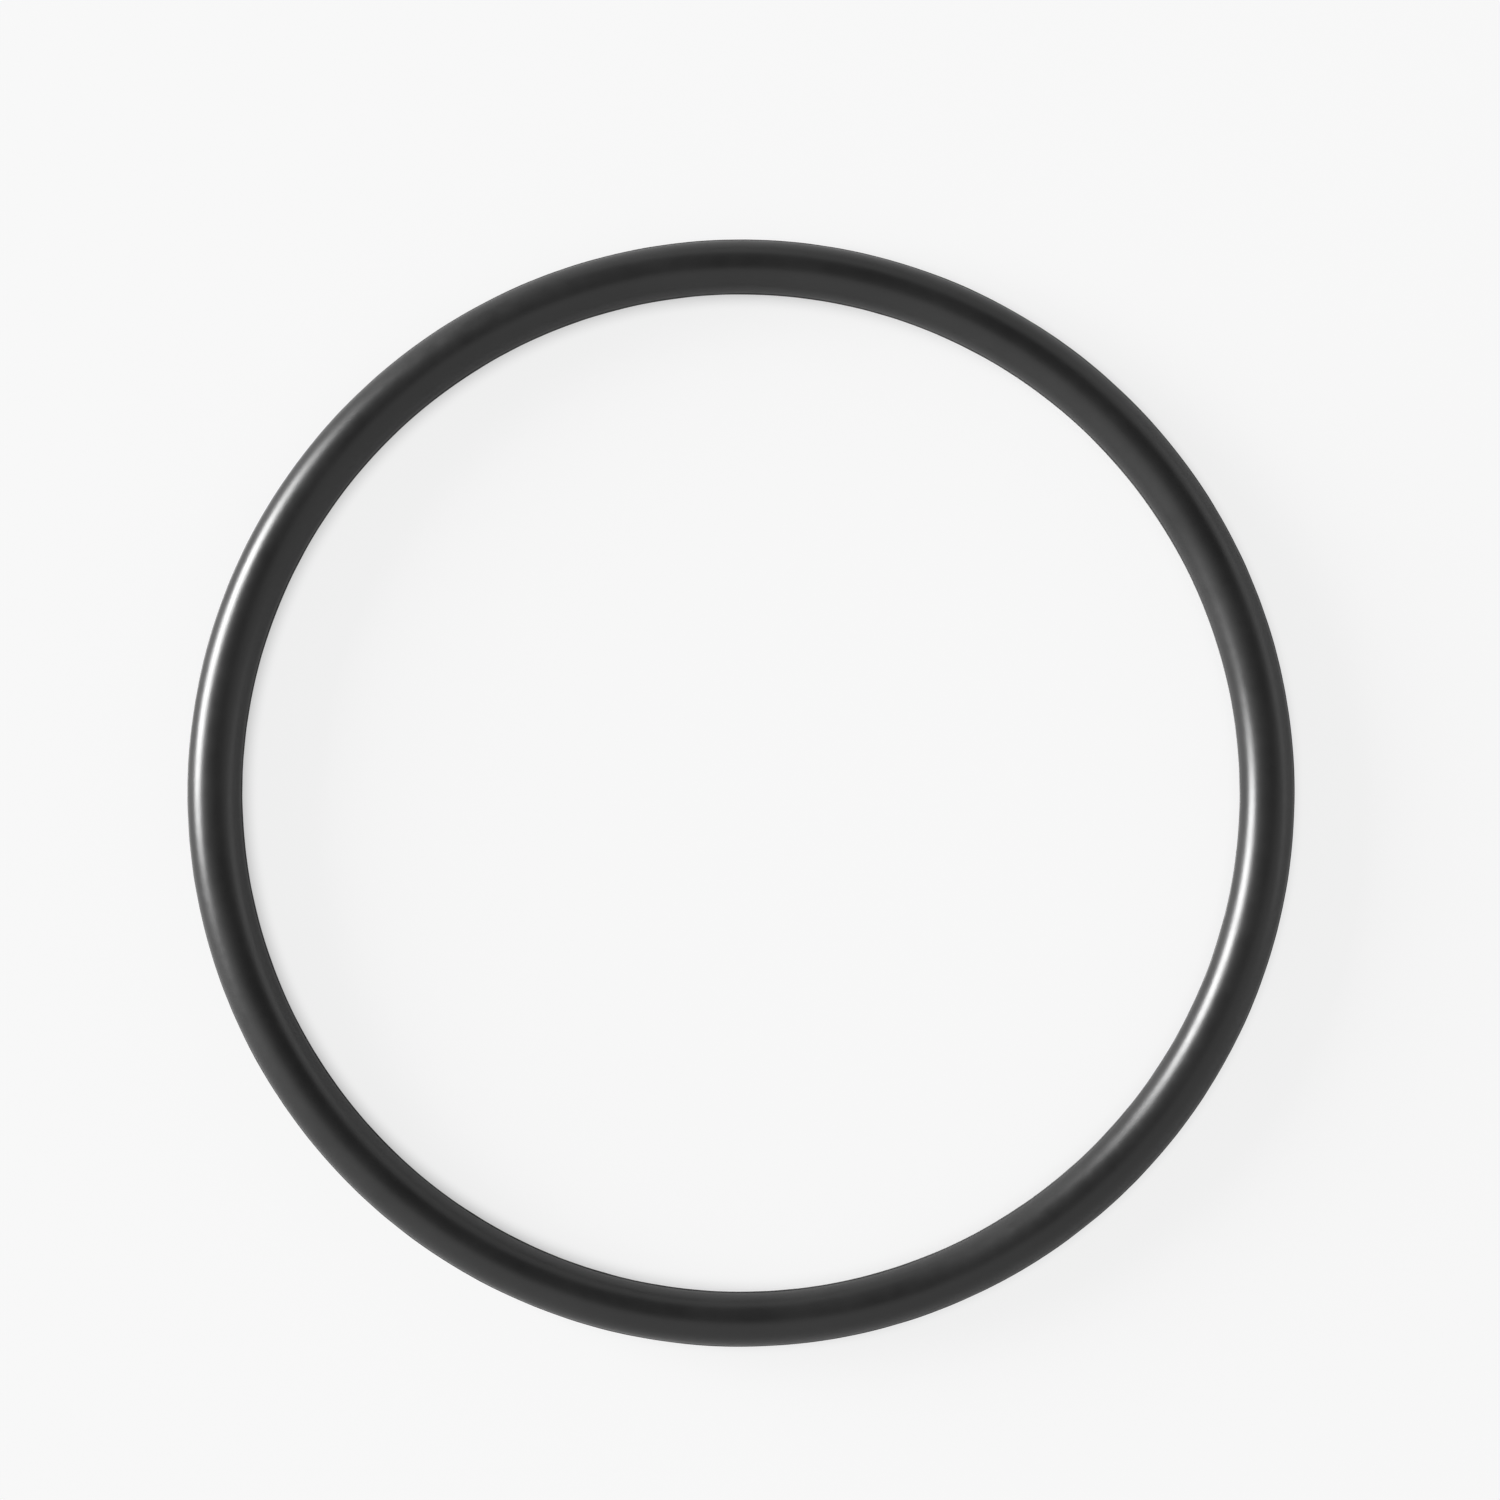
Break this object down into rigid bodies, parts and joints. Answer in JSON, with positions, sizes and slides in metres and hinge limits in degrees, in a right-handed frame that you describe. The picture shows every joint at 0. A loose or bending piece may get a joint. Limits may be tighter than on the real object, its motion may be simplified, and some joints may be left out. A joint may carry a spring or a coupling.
{
  "type": "rubber o-ring",
  "caption": "Moulded rubber o-ring of round section, squeezed in a groove round a shaft, in a bore or between two faces to seal the gap.",
  "frame": {"origin": "centre of the ring, on its axis at the parting plane", "axes": "+Z along the ring's axis, upwards as the ring lies flat; the ring is round, so X and Y are any two directions square to it"},
  "size_m": [0.0542, 0.0542, 0.0026],
  "materials": {
    "rubber": "satin"
  },
  "bodies": {
    "root": {"o_ring": "rubber"}
  },
  "joints": []
}
